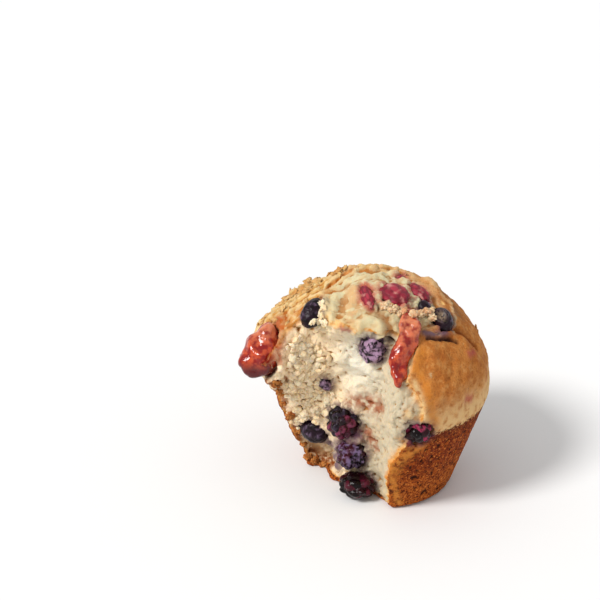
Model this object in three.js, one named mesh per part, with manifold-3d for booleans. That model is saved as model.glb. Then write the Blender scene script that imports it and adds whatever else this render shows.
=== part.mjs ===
// A mixed-berry muffin torn open at the front. A tapered cup, baked in a tin, carries a
// cracked dome that hangs over on the left. The torn face shows the crumb and the fruit in
// it, more fruit and some crumble break through the top, and jam has run in two places.
// Millimetres, +Z up, the torn face towards -Y, the origin under the middle of the cup.
import * as THREE from "three";
import { ParametricGeometry } from "three/addons/geometries/ParametricGeometry.js";
import { ImprovedNoise } from "three/addons/math/ImprovedNoise.js";
import { mergeVertices } from "three/addons/utils/BufferGeometryUtils.js";
import Module from "manifold-3d";

const wasm = await Module();
wasm.setup();

// Driving dimensions
const CUP = { baseRadius: 25, rimRadius: 36.4, height: 33, edge: 1.6, rows: 7 };
const DOME = {
  radius: 39.6,
  widestAt: 43.5,
  height: 76.2,
  flare: 1.4,
  fullness: 1.62,
  rimRows: 3,
  rows: 12,
  rowSpacing: 1.15,
};
const LEAN = { shift: 2.8, lip: 4.5, spread: 1.1, fadeFrom: 46, fadeTo: 74 };
const AROUND = 60;
const LUMPS = { length: 17, height: 0.9, fineLength: 7, fineHeight: 0.45 };
const GAP = 0.3;

// The torn face is a depth, measured from the cup's axis along the way that the face
// looks, over a place "across" and "high" on it.
const TEAR = {
  turnedLeft: Math.PI / 6,
  depth: 14.3,
  step: 2.8,
  width: 95.2,
  bottom: -4,
  top: 84,
  outside: 70,
};
const TEAR_SHAPE = {
  underLip: { across: -26.2, high: 50, wide: 8.6, tall: 16, depth: 20.9 },
  lowLeft: { across: -18.7, high: 6.6, wide: 8, tall: 8, depth: -13 },
  rightFoot: { across: 18.3, high: 16.9, wide: 7.1, tall: 16, depth: 11.7 },
  rightFlank: { across: 23, high: 43.1, wide: 8.5, tall: 15.1, depth: 18 },
  underTop: { across: -4.6, high: 67.8, wide: 15.1, tall: 12, depth: 10.9 },
};
// At the right only the crust has come off, as far as an edge that bulges at the flank.
const PEELED = {
  depth: 2.6,
  footEdge: 18,
  flankEdge: 32.4,
  high: 41,
  tall: 16,
  from: 0,
  full: 8,
  fadeFrom: 56,
  fadeTo: 64,
  clear: 7,
  stepWidth: 3.5,
};
const CRAGS = { length: 9, height: 3, fineLength: 5, fineHeight: 2.4, sideways: 1, calm: 0.6 };

// The broken top is an oval, seen from above, that has sunk a little. A crack runs round
// behind it, and the crust has folded over at its right.
const TOP = { x: 0, y: -9, wide: 21, deep: 15.5, sunk: 1.6, flat: 0.85 };
const CRACK_BEHIND = { radius: 1.8, from: 2.85, to: 0.95, points: 9 };
const CRACK = { steps: 14, sides: 8, narrowest: 0.45, widest: 1.15, waves: 9 };
const FOLD = { radius: 1.4, through: [[14, -20.5], [20, -18.8], [25.5, -16.6], [30, -15.5]] };

// Fruit in the torn face stands at [across, high], and fruit in the dome at [x, y]. Sizes
// are side to side, along the surface and through it. The lean turns it on the surface.
const FRUIT = {
  blueberry_lip: { kind: "blueberry", dome: [-23.2, -12.3], size: [7.5, 12, 8], lean: -0.45 },
  blueberry_top: { kind: "blueberry", dome: [14, -10.2], size: [5.2, 4.8, 4.6], lean: 0 },
  blueberry_right: { kind: "blueberry", dome: [19.4, -13], size: [7, 9.5, 7], lean: 0.6 },
  blueberry_back: { kind: "blueberry", dome: [12, 31], size: [9, 9, 8], lean: 0.3 },
  blueberry_centre: { kind: "blueberry", tear: [6, 56.8], size: [9, 12, 8], lean: 0.35 },
  blueberry_low: { kind: "blueberry", tear: [-18.6, 17.4], size: [11, 9.5, 9], lean: 0.2 },
  berry_bit: { kind: "blueberry", tear: [-12.9, 38], size: [5, 4, 4], lean: 0.6 },
  raspberry_small: { kind: "raspberry", dome: [-5.4, -11], size: [4.6, 12, 5], lean: -0.4 },
  raspberry_mid: { kind: "raspberry", dome: [4, -9.4], size: [10.5, 11.5, 8], lean: 0.2 },
  raspberry_back: { kind: "raspberry", dome: [12.6, -3.6], size: [6.6, 10.5, 7], lean: 0.6 },
  raspberry_ridge: { kind: "raspberry", dome: [6.4, 3.2], size: [5.6, 4, 4], lean: 0.2 },
  bramble_back: { kind: "bramble", dome: [-17, 33], size: [10, 11, 9], lean: 0.4 },
  bramble_right: { kind: "bramble", tear: [25.6, 34.4], proud: -1.4, size: [9.5, 9.5, 9], lean: 0.3 },
  bramble_mid: { kind: "bramble", tear: [-6.2, 25.2], proud: 1, size: [12, 12.5, 11], lean: 0.2 },
  bramble_low: { kind: "bramble", tear: [-2.7, 13.6], proud: 1, size: [11, 11, 11], lean: 0.3 },
  bramble_foot: { kind: "bramble", tear: [1.4, 4.7], proud: 4.5, size: [14.2, 8.8, 11], lean: 0 },
};

// Jam: a thick drop that leans back on the lip, and a run down from the top over the torn
// edge
const JAM_LIP = {
  at: [-39.9, -9.8, 52.3],
  size: [13, 12, 17.5],
  detail: 2,
  uneven: 0.12,
  taper: 0.25,
  leanRight: 2,
  leanBack: 3.5,
};
const JAM_RUN = {
  through: [
    [8.7, -15.8, 70],
    [8, -21.6, 67.8],
    [6.7, -26.3, 63.1],
    [5.1, -29.2, 58.6],
    [4.7, -32.3, 54.9],
    [4.3, -36.2, 50.6],
  ],
  halfWidths: [1.6, 3.6, 4, 3.6, 3.1, 1.9],
  halfDepth: 1.8,
  steps: 16,
  sides: 10,
};

// Crumble beside the fruit, and flakes of oat over the rest of the dome
const CRUMBLE = {
  pieces: 16,
  from: [0.5, -19.5],
  to: [17, -13.5],
  size: 1.5,
  uneven: 0.25,
  proud: 0.3,
  seed: 7,
};
const FLAKES = {
  pieces: 18,
  size: 2.1,
  thickness: 0.8,
  narrow: 0.75,
  taper: 0.85,
  sides: 7,
  tip: 0.3,
  proud: 0.35,
  from: [-34, -32],
  to: [30, 32],
  within: 0.8,
  fromTear: 3,
  seed: 23,
};

const facing = new THREE.Vector3(-Math.sin(TEAR.turnedLeft), -Math.cos(TEAR.turnedLeft), 0);
const along = new THREE.Vector3(Math.cos(TEAR.turnedLeft), -Math.sin(TEAR.turnedLeft), 0);
const up = new THREE.Vector3(0, 0, 1);
const perlin = new ImprovedNoise();
const smooth = THREE.MathUtils.smoothstep;
const lerp = THREE.MathUtils.lerp;

// Shared helpers
function bell(distance) {
  return Math.exp(-distance * distance);
}

function roughness(p, length, shift = 0) {
  return perlin.noise(p.x / length + shift, p.y / length + shift, p.z / length + shift);
}

// Slow swells: four sine waves that cross at odd angles.
function swell(p, length) {
  const k = (2 * Math.PI) / length;
  return (
    (Math.sin(k * (0.86 * p.x + 0.38 * p.y + 0.33 * p.z)) +
      Math.sin(1.23 * k * (-0.35 * p.x + 0.9 * p.y + 0.26 * p.z) + 1.3) +
      Math.sin(0.81 * k * (0.24 * p.x - 0.45 * p.y + 0.86 * p.z) + 2.1) +
      Math.sin(1.41 * k * (-0.7 * p.x - 0.5 * p.y + 0.51 * p.z) + 4.2)) /
    4
  );
}

function reshape(geometry, move) {
  const places = geometry.getAttribute("position");
  const p = new THREE.Vector3();
  for (let i = 0; i < places.count; i++) {
    p.fromBufferAttribute(places, i);
    move(p);
    places.setXYZ(i, p.x, p.y, p.z);
  }
  return geometry;
}

function solidOf(geometry) {
  const bare = geometry.index ? geometry.toNonIndexed() : geometry.clone();
  bare.deleteAttribute("normal");
  bare.deleteAttribute("uv");
  const merged = mergeVertices(bare, 1e-4);
  return new wasm.Manifold(
    new wasm.Mesh({
      numProp: 3,
      vertProperties: merged.getAttribute("position").array,
      triVerts: new Uint32Array(merged.index.array),
    }),
  );
}

function withoutScraps(solid) {
  const pieces = solid.decompose();
  return pieces.reduce((largest, piece) => (piece.volume() > largest.volume() ? piece : largest));
}

function meshOf(solid, name, material) {
  const { vertProperties, triVerts } = solid.getMesh();
  const geometry = new THREE.BufferGeometry();
  geometry.setAttribute("position", new THREE.BufferAttribute(vertProperties, 3));
  geometry.setIndex(new THREE.BufferAttribute(triVerts, 1));
  geometry.computeVertexNormals();
  const mesh = new THREE.Mesh(geometry, material);
  mesh.name = name;
  return mesh;
}

// The whole muffin, before it was torn
function plainRadius(high) {
  if (high <= CUP.height) {
    return lerp(CUP.baseRadius, CUP.rimRadius, high / CUP.height);
  }
  if (high <= DOME.widestAt) {
    const share = (high - CUP.height) / (DOME.widestAt - CUP.height);
    return lerp(DOME.radius, CUP.rimRadius, Math.pow(1 - share, DOME.flare));
  }
  const share = Math.min(1, (high - DOME.widestAt) / (DOME.height - DOME.widestAt));
  return DOME.radius * Math.pow(1 - Math.pow(share, DOME.fullness), 1 / DOME.fullness);
}

function aboveRim(high) {
  return smooth(high, CUP.height, DOME.widestAt);
}

function overhang(azimuth, high) {
  const fromLeft = Math.PI - Math.abs(azimuth);
  const fade = 1 - smooth(high, LEAN.fadeFrom, LEAN.fadeTo);
  return 1 + (aboveRim(high) * fade * LEAN.lip * bell(fromLeft / LEAN.spread)) / DOME.radius;
}

function domePoint(x, y, proud = 0) {
  const fromMiddle = x + LEAN.shift;
  const distance = Math.hypot(fromMiddle, y);
  let low = DOME.widestAt;
  let high = DOME.height;
  for (let i = 0; i < 30; i++) {
    const middle = (low + high) / 2;
    const reach = plainRadius(middle) * overhang(Math.atan2(y, fromMiddle), middle);
    if (reach > distance) {
      low = middle;
    } else {
      high = middle;
    }
  }
  const p = new THREE.Vector3(x, y, low);
  return p.addScaledVector(domeOutward(p), proud - sunkBy(x, y));
}

function sunkBy(x, y) {
  const share = Math.hypot((x - TOP.x) / TOP.wide, (y - TOP.y) / TOP.deep);
  return TOP.sunk * (1 - smooth(share, TOP.flat, 1));
}

function domeOutward(p) {
  return new THREE.Vector3(p.x + LEAN.shift, p.y, p.z - CUP.height).normalize();
}

function intactProfile() {
  const points = [new THREE.Vector2(0, 0), new THREE.Vector2(CUP.baseRadius / 2, 0)];
  for (let i = 0; i <= 2; i++) {
    const turn = (i / 2) * (Math.PI / 2);
    points.push(
      new THREE.Vector2(
        CUP.baseRadius - CUP.edge * (1 - Math.sin(turn)),
        CUP.edge * (1 - Math.cos(turn)),
      ),
    );
  }
  for (let i = 1; i <= CUP.rows; i++) {
    const high = lerp(CUP.edge, CUP.height, i / CUP.rows);
    points.push(new THREE.Vector2(plainRadius(high), high));
  }
  for (let i = 1; i <= DOME.rimRows; i++) {
    const high = lerp(CUP.height, DOME.widestAt, i / DOME.rimRows);
    points.push(new THREE.Vector2(plainRadius(high), high));
  }
  for (let i = 1; i < DOME.rows; i++) {
    const turn = (i / DOME.rows) * (Math.PI / 2);
    const high = lerp(DOME.widestAt, DOME.height, Math.pow(Math.sin(turn), DOME.rowSpacing));
    points.push(new THREE.Vector2(plainRadius(high), high));
  }
  points.push(new THREE.Vector2(0, DOME.height));
  return points;
}

function intactMuffin() {
  const lathe = new THREE.LatheGeometry(intactProfile(), AROUND).rotateX(Math.PI / 2);
  return solidOf(
    reshape(lathe, (p) => {
      const reach = overhang(Math.atan2(p.y, p.x), p.z);
      const risen = aboveRim(p.z);
      p.x = p.x * reach - LEAN.shift * risen;
      p.y *= reach;
      const lump =
        LUMPS.height * swell(p, LUMPS.length) + LUMPS.fineHeight * swell(p, LUMPS.fineLength);
      const sunk = p.z > DOME.widestAt ? sunkBy(p.x, p.y) : 0;
      p.addScaledVector(domeOutward(p), risen * lump - sunk);
    }),
  );
}

// The tear
function hollowDepth(across, high) {
  let depth = TEAR.depth;
  for (const part of Object.values(TEAR_SHAPE)) {
    const sideways = bell((across - part.across) / part.wide);
    depth += part.depth * sideways * bell((high - part.high) / part.tall);
  }
  return depth;
}

// How far the whole muffin's side reaches the way that the torn face looks
function untornDepth(across, high) {
  const middle = -LEAN.shift * aboveRim(high);
  const fromMiddle = across - middle * along.x;
  const radius = plainRadius(high);
  return middle * facing.x + Math.sqrt(Math.max(0, radius * radius - fromMiddle * fromMiddle));
}

function tearDepth(across, high) {
  const untorn = untornDepth(across, high);
  const low = 1 - smooth(high, PEELED.fadeFrom, PEELED.fadeTo);
  const atRight = low * smooth(across, PEELED.from, PEELED.full);
  const skin = untorn + lerp(TEAR.outside, -PEELED.depth, atRight);
  const bulge = bell((high - PEELED.high) / PEELED.tall);
  const edge = lerp(PEELED.footEdge, PEELED.flankEdge, bulge);
  const beyond = low * smooth(across, edge - PEELED.stepWidth, edge);
  return lerp(Math.min(hollowDepth(across, high), skin), untorn + PEELED.clear, beyond);
}

function tearPoint(across, high, proud = 0) {
  return new THREE.Vector3()
    .addScaledVector(along, across)
    .addScaledVector(up, high)
    .addScaledVector(facing, tearDepth(across, high) + proud);
}

function tornAway() {
  const tall = TEAR.top - TEAR.bottom;
  const columns = Math.round(TEAR.width / TEAR.step);
  const rows = Math.round(tall / TEAR.step);
  const block = new THREE.BoxGeometry(TEAR.width, tall, 1, columns, rows, 1);
  return solidOf(
    reshape(block, (p) => {
      const across = p.x;
      const high = p.y + tall / 2 + TEAR.bottom;
      const torn = p.z < 0;
      p.copy(along).multiplyScalar(across).addScaledVector(up, high);
      if (!torn) {
        p.addScaledVector(facing, TEAR.outside);
        return;
      }
      const rough = 1 - CRAGS.calm * smooth(across, PEELED.full, PEELED.footEdge);
      const crag =
        CRAGS.height * roughness(p, CRAGS.length) +
        CRAGS.fineHeight * roughness(p, CRAGS.fineLength, 7.3);
      const slide = CRAGS.sideways * roughness(p, CRAGS.fineLength, 19.1);
      const lift = CRAGS.sideways * roughness(p, CRAGS.fineLength, 31.7);
      p.addScaledVector(facing, tearDepth(across, high) + rough * crag);
      p.addScaledVector(along, slide).addScaledVector(up, lift);
    }),
  );
}

function isTornAway(p, margin) {
  return p.dot(facing) > tearDepth(p.dot(along), p.z) - margin;
}

// A closed tube with oval sections, which lies on a surface that looks "outward"
function ovalTube(path, halfWidthAt, halfDepthAt, outwardAt, steps, sides) {
  const tube = new ParametricGeometry(
    (a, b, target) => {
      const middle = path.getPoint(b);
      const ahead = path.getTangent(b);
      const outward = outwardAt(middle).addScaledVector(ahead, -ahead.dot(outwardAt(middle)));
      outward.normalize();
      const sideways = new THREE.Vector3().crossVectors(ahead, outward);
      const round = Math.sqrt(Math.max(0, 1 - Math.pow(2 * b - 1, 8)));
      const turn = -2 * Math.PI * a;
      target
        .copy(middle)
        .addScaledVector(sideways, halfWidthAt(b) * round * Math.cos(turn))
        .addScaledVector(outward, halfDepthAt(b) * round * Math.sin(turn));
    },
    sides,
    steps,
  );
  return solidOf(tube);
}

function crack(places, radius) {
  const path = new THREE.CatmullRomCurve3(places.map(([x, y]) => domePoint(x, y)));
  const radiusAt = (share) => {
    const wave = (1 + Math.sin(CRACK.waves * share)) / 2;
    return radius * lerp(CRACK.narrowest, CRACK.widest, wave);
  };
  return ovalTube(path, radiusAt, radiusAt, domeOutward, CRACK.steps, CRACK.sides);
}

function crackBehind() {
  const places = [];
  for (let i = 0; i < CRACK_BEHIND.points; i++) {
    const turn = lerp(CRACK_BEHIND.from, CRACK_BEHIND.to, i / (CRACK_BEHIND.points - 1));
    places.push([TOP.x + TOP.wide * Math.cos(turn), TOP.y + TOP.deep * Math.sin(turn)]);
  }
  return crack(places, CRACK_BEHIND.radius);
}

// Jam
function jamRun(grow) {
  const path = new THREE.CatmullRomCurve3(
    JAM_RUN.through.map((place) => new THREE.Vector3(...place)),
  );
  const widths = new THREE.CatmullRomCurve3(
    JAM_RUN.halfWidths.map((width, i) => new THREE.Vector3(i, width, 0)),
  );
  return ovalTube(
    path,
    (share) => widths.getPoint(share).y + grow,
    () => JAM_RUN.halfDepth + grow,
    domeOutward,
    JAM_RUN.steps,
    JAM_RUN.sides,
  );
}

function jamLip(grow) {
  const drop = new THREE.IcosahedronGeometry(1, JAM_LIP.detail);
  const [wide, deep, tall] = JAM_LIP.size.map((size) => size / 2 + grow);
  return solidOf(
    reshape(drop, (p) => {
      const sag = (1 + JAM_LIP.uneven * swell(p, 1.6)) * (1 - JAM_LIP.taper * p.z);
      const lean = new THREE.Vector3(JAM_LIP.leanRight, JAM_LIP.leanBack, 0).multiplyScalar(p.z);
      p.set(p.x * wide * sag, p.y * deep * sag, p.z * tall).add(lean);
      p.add(new THREE.Vector3(...JAM_LIP.at));
    }),
  );
}

// Fruit. Each kind is a unit ball with its relief pressed in, so that nothing stands
// further out than the smooth oval that its socket is cut with.
function spread(count) {
  const golden = Math.PI * (3 - Math.sqrt(5));
  return Array.from({ length: count }, (unused, i) => {
    const z = 1 - (2 * i + 1) / count;
    const r = Math.sqrt(1 - z * z);
    return new THREE.Vector3(r * Math.cos(golden * i), r * Math.sin(golden * i), z);
  });
}

function beaded(count, groove) {
  const middles = spread(count);
  const reach = Math.sqrt((4 * Math.PI) / count) / 1.6;
  return (direction) => {
    const nearest = Math.min(...middles.map((middle) => direction.angleTo(middle)));
    return 1 - groove * Math.min(1, Math.pow(nearest / reach, 2));
  };
}

function creased(direction) {
  const crater = bell(direction.angleTo(new THREE.Vector3(0, 0.25, 0.97).normalize()) / 0.4);
  return 0.96 - 0.2 * crater + 0.04 * swell(direction, 1.4);
}

const KINDS = {
  bramble: { detail: 3, relief: beaded(28, 0.17), colour: 0x2a1420, roughness: 0.3 },
  raspberry: { detail: 2, relief: beaded(22, 0.12), colour: 0xa8304a, roughness: 0.5 },
  blueberry: { detail: 2, relief: creased, colour: 0x342a4a, roughness: 0.55 },
};

function fruitPlace({ dome, tear, proud = 0, lean }) {
  const at = dome ? domePoint(...dome, proud) : tearPoint(...tear, proud);
  const outward = dome ? domeOutward(at) : facing.clone();
  const upward = up.clone().addScaledVector(outward, -outward.dot(up)).normalize();
  const sideways = new THREE.Vector3().crossVectors(upward, outward);
  const turned = new THREE.Matrix4().makeBasis(sideways, upward, outward);
  turned.multiply(new THREE.Matrix4().makeRotationZ(-lean));
  return turned.setPosition(at);
}

function fruitSolid(fruit, detail, relief, grow) {
  const ball = new THREE.IcosahedronGeometry(1, detail);
  const [wide, tall, deep] = fruit.size.map((size) => size / 2 + grow);
  const place = fruitPlace(fruit);
  return solidOf(
    reshape(ball, (p) => {
      const out = relief(p);
      p.set(p.x * wide, p.y * tall, p.z * deep).multiplyScalar(out);
      p.applyMatrix4(place);
    }),
  );
}

// Crumble and flakes, joined to the dome
function crumb(at, size) {
  const ball = new THREE.IcosahedronGeometry(size, 0);
  return solidOf(
    reshape(ball, (p) => {
      p.multiplyScalar(1 + CRUMBLE.uneven * roughness(p.clone().add(at), 1.1)).add(at);
    }),
  );
}

function flake(at, size) {
  const { thickness, sides, narrow, taper, tip } = FLAKES;
  const disc = new THREE.CylinderGeometry(size, size * taper, thickness, sides, 1);
  const tipped = domeOutward(at);
  tipped.x += tip * Math.sin(at.x);
  tipped.y += tip * Math.cos(at.y);
  const lie = new THREE.Quaternion().setFromUnitVectors(
    new THREE.Vector3(0, 1, 0),
    tipped.normalize(),
  );
  return solidOf(reshape(disc, (p) => p.setX(p.x * narrow).applyQuaternion(lie).add(at)));
}

function isClearOfFruit(p, margin) {
  return Object.values(FRUIT).every((fruit) => {
    const middle = new THREE.Vector3().setFromMatrixPosition(fruitPlace(fruit));
    return middle.distanceTo(p) > Math.max(...fruit.size) / 2 + margin;
  });
}

function withCrumble(body) {
  const draw = THREE.MathUtils.seededRandom;
  draw(CRUMBLE.seed);
  for (let i = 0; i < CRUMBLE.pieces; i++) {
    const x = lerp(CRUMBLE.from[0], CRUMBLE.to[0], draw());
    const y = lerp(CRUMBLE.from[1], CRUMBLE.to[1], draw());
    body = body.add(crumb(domePoint(x, y, CRUMBLE.proud), CRUMBLE.size * lerp(0.7, 1.15, draw())));
  }
  draw(FLAKES.seed);
  let placed = 0;
  while (placed < FLAKES.pieces) {
    const x = lerp(FLAKES.from[0], FLAKES.to[0], draw());
    const y = lerp(FLAKES.from[1], FLAKES.to[1], draw());
    const size = FLAKES.size * lerp(0.7, 1.2, draw());
    if (Math.hypot(x + LEAN.shift, y) > FLAKES.within * DOME.radius) {
      continue;
    }
    const at = domePoint(x, y, FLAKES.proud);
    if (isTornAway(at, size + FLAKES.fromTear) || !isClearOfFruit(at, size)) {
      continue;
    }
    body = body.add(flake(at, size));
    placed += 1;
  }
  return body;
}

// Materials
const finish = (color, roughness) => new THREE.MeshStandardMaterial({ color, roughness });
const baked = finish(0xc98f4e, 0.75);
const jam = finish(0xc03a2c, 0.15);

const model = new THREE.Group();
model.name = "torn_berry_muffin";

let muffin = withCrumble(intactMuffin())
  .subtract(tornAway())
  .subtract(crackBehind())
  .subtract(crack(FOLD.through, FOLD.radius));
for (const [name, fruit] of Object.entries(FRUIT)) {
  const kind = KINDS[fruit.kind];
  const material = finish(kind.colour, kind.roughness);
  model.add(meshOf(fruitSolid(fruit, kind.detail, kind.relief, 0), name, material));
  muffin = muffin.subtract(fruitSolid(fruit, 2, () => 1, GAP));
}
muffin = withoutScraps(muffin.subtract(jamRun(GAP)).subtract(jamLip(GAP)));
model.add(meshOf(jamRun(0), "jam_run", jam));
model.add(meshOf(jamLip(0), "jam_lip", jam));
model.add(meshOf(muffin, "muffin", baked));

export default model;
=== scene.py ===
"""Dresses the torn berry muffin: baked crust, open crumb, berries, jam, crumble and oats."""

import math
import random

import bmesh
import bpy
import numpy as np
from mathutils import Matrix, Vector, noise
from mathutils.bvhtree import BVHTree


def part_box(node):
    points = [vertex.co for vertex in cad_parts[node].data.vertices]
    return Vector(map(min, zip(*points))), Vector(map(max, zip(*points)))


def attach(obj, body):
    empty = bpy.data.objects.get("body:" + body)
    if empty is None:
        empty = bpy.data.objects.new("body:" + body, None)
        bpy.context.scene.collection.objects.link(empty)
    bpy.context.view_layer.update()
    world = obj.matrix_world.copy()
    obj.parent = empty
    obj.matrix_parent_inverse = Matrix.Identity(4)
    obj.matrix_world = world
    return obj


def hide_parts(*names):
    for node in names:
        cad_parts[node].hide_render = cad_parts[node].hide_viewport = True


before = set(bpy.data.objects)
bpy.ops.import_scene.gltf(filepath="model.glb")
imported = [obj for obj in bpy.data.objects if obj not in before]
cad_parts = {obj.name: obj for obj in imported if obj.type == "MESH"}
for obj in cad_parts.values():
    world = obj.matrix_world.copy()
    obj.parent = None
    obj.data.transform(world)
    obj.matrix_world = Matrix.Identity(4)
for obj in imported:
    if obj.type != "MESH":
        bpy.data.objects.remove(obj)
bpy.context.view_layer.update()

MM = 0.001
BODY = "root"

# Without a seed, the vectors of noise differ from run to run
noise.seed_set(4)

# The muffin's own sizes, in millimetres, as it was baked
CUP_BASE = 25.0
CUP_RIM = 36.4
CUP_HIGH = 33.0
CUP_EDGE = 1.6
DOME_RADIUS = 39.6
DOME_WIDEST = 43.5
DOME_HIGH = 76.2
DOME_FULLNESS = 1.62
LEAN_SHIFT = 2.8
LIP_REACH = 4.5
LIP_SPREAD = 1.1
LIP_FADE = (46.0, 74.0)
LUMPS = ((17.0, 0.9), (7.0, 0.45))
TOP_MIDDLE = (0.0, -9.0)
TOP_HALF = (21.0, 15.5)
TOP_SUNK = 1.6

# How finely the pieces are meshed, in millimetres
BODY_VOXEL = 0.78
JAM_VOXEL = 0.4

# Depths under the crust where it gives way to open crumb, in millimetres
RELAXED_FROM = (0.5, 1.6)
FINER_FROM = 0.45
CRUST_ENDS = (0.5, 0.95)
RELIEF_CHANGES = (0.5, 1.4)
BASE_OPENS = (1.4, 2.4)

# Where the whole crust at the right front begins, along x, y and z, in millimetres
WHOLE_SIDE = ((24.5, 26.5), (2.0, 6.0), (38.0, 42.0))

# The seat that the jam at the lip presses into the body: its edge, as a share of the jam's
# own size, and its depth in millimetres
JAM_SEAT_EDGE = (0.9, 1.3)
JAM_SEAT_DEEP = 1.5

# Where the photograph was taken from
CAMERA_LENS = 100.0
CAMERA_SENSOR = 36.0
CAMERA_PITCH = math.radians(24.0)
CAMERA_DISTANCE = 584.0
IMAGE_SIZE = 600
BASE_PIXEL = (378.0, 472.0)

FRUIT = {
    "blueberry": [
        "blueberry_lip",
        "blueberry_top",
        "blueberry_right",
        "blueberry_back",
        "blueberry_centre",
        "blueberry_low",
        "berry_bit",
    ],
    "raspberry": ["raspberry_small", "raspberry_mid", "raspberry_back", "raspberry_ridge"],
    "bramble": ["bramble_back", "bramble_right", "bramble_mid", "bramble_low", "bramble_foot"],
}
DARK_FRUIT = FRUIT["blueberry"] + FRUIT["bramble"]
ALL_FRUIT = DARK_FRUIT + FRUIT["raspberry"]

# Marks on the baked body: what shows, half its width and its height in millimetres,
# and the pixels of the photograph that it runs through
MARKS = (
    ("pale", 1.0, 0.9, (340, 288), (347, 283), (355, 280), (373, 277), (388, 276), (403, 281)),
    ("pale", 1.3, 0.7, (397, 279), (404, 283), (411, 292)),
    # Painted shadow in the arc crack behind the pale ridge
    ("gold", 1.0, -0.3, (322, 300), (333, 285), (346, 275), (365, 270)),
    ("pale", 1.5, 0.6, (337, 294), (333, 306), (331, 318), (328, 331)),
    ("pale", 1.3, 0.6, (327, 297), (324, 312), (321, 326)),
    ("tan", 2.6, 0.5, (352, 292), (353, 306), (354, 321)),
    ("pale", 0.9, 0.9, (377, 281), (379, 292), (381, 304)),
    ("tan", 1.3, 1.0, (411, 277), (425, 281), (436, 291), (449, 302)),
    # Painted shade in the slit of the fold
    ("dark", 0.7, -1.1, (428, 338), (440, 339), (450, 339), (457, 342)),
    ("lilac", 1.2, 0.4, (424, 333), (434, 335), (445, 333)),
    ("pale", 0.7, 0.8, (451, 305), (454, 320), (453, 332)),
    ("pale", 1.6, 1.6, (356, 331), (366, 322), (375, 318), (380, 325), (381, 333)),
    # Painted shade in the hollow beside the torn block
    ("brown", 1.5, -1.5, (386, 317), (388, 325), (391, 333)),
    ("dark", 0.5, -0.6, (377, 305), (379, 310)),
    ("ruby", 0.7, -0.3, (399, 306), (407, 309), (416, 309)),
    # Painted shade in a hole in the crumb
    ("dark", 1.0, -1.6, (384, 338), (392, 341)),
    ("amber", 3.6, 0.3, (278, 322), (277, 334), (275, 346), (274, 360)),
    ("ruby", 1.5, 0.2, (262, 364), (266, 360), (271, 368), (266, 373)),
    ("blond", 1.4, 0.2, (412, 352), (407, 371), (417, 388), (422, 402), (425, 417), (428, 430)),
    ("gold", 2.0, 0.0, (422, 352), (415, 368), (424, 384), (429, 398), (431, 412), (434, 424)),
    ("honey", 2.5, 0.1, (420, 446), (406, 456), (394, 465), (392, 473)),
    ("honey", 1.1, 0.1, (391, 476), (395, 490), (399, 503)),
    ("dark", 0.55, -0.3, (390, 491), (392, 493)),
    ("brown", 0.7, -0.2, (380, 494), (385, 497)),
    ("toast_and_shade", 1.4, 0.4, (262, 377), (268, 380), (273, 385)),
    ("toast_and_shade", 1.9, 0.7, (277, 388), (283, 400), (289, 412), (295, 425), (299, 438)),
    ("gold", 1.6, 0.2, (282, 328), (289, 325), (295, 319), (299, 312)),
    # Toasted crust along the lower left edge, with painted shade where its crust bits lie in shadow
    ("toast_and_shade", 2.2, 0.4, (303, 452), (310, 460), (322, 463), (331, 467)),
    ("toast_and_shade", 2.4, -0.4, (309, 452), (318, 456), (327, 459), (333, 462)),
    # Painted shade in two small voids
    ("toast_and_shade", 0.8, -1.3, (298, 407), (303, 411)),
    ("toast_and_shade", 0.7, -1.0, (287, 379), (289, 384)),
    ("tan", 3.0, 0.0, (310, 441), (319, 448), (330, 453)),
    ("gold", 2.4, 0.3, (266, 316), (276, 305), (287, 298), (300, 291)),
    ("tan", 1.5, 1.1, (333, 277), (345, 270), (360, 267)),
    ("tan", 1.4, 1.0, (374, 268), (386, 270)),
    ("tan", 1.6, 1.3, (398, 271), (405, 277)),
    ("tan", 1.6, 1.3, (427, 283), (438, 290)),
    # Painted shade in the crease across the right of the dome
    ("toast_and_shade", 1.0, -1.6, (452, 328), (459, 331), (467, 336), (474, 343), (477, 347)),
    ("pale", 0.35, 0.3, (430, 374), (430, 377)),
    ("brown", 2.6, -0.3, (443, 292), (452, 303), (459, 315)),
    # Painted shadow under the row of crumble
    ("brown", 1.2, -0.3, (369, 310), (376, 314), (384, 317)),
    ("pink", 1.2, 0.0, (470, 354), (474, 352)),
    ("pink", 1.5, 0.0, (466, 399), (471, 398)),
    ("peach", 3.0, -0.3, (353, 402), (367, 402), (379, 408)),
    ("pink", 0.9, 0.0, (342, 328), (349, 330)),
    ("peach", 2.0, -0.3, (358, 432), (369, 433), (374, 446)),
    ("lilac", 2.6, 1.0, (322, 438), (334, 443), (345, 441), (356, 436)),
    ("lilac", 1.9, 0.8, (339, 447), (337, 456), (338, 465)),
)
MARK_KINDS = tuple(dict.fromkeys(kind for kind, *_ in MARKS))

# Colours laid on the baked body in the order they are laid: what is laid, its colour, and how
# much of it shows at most. Most are the body's own stains and toasting; the dark ones, part of
# the brown and toasted ones and the gold along the arc crack are painted shade in holes, slits,
# creases and hollows. All but the even ones are broken up into patches
STAINS_AND_SHADE = (
    ("tan", (206, 168, 120), 1.0),
    ("blond", (226, 198, 146), 0.9),
    ("honey", (204, 130, 54), 0.9),
    ("brown", (142, 98, 58), 0.8),
    ("pale", (211, 194, 152), 1.0),
    ("gold", (198, 122, 44), 0.8),
    ("toast_and_shade", (136, 68, 24), 1.0),
    ("amber", (166, 62, 14), 0.85),
    ("peach", (156, 88, 56), 0.9),
    ("ruby", (116, 10, 8), 1.0),
    ("lilac", (112, 88, 98), 0.95),
    ("pink", (170, 76, 72), 0.7),
    ("red", (180, 84, 80), 0.8),
    ("purple", (84, 46, 66), 0.85),
    ("dark", (40, 16, 14), 1.0),
)
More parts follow.
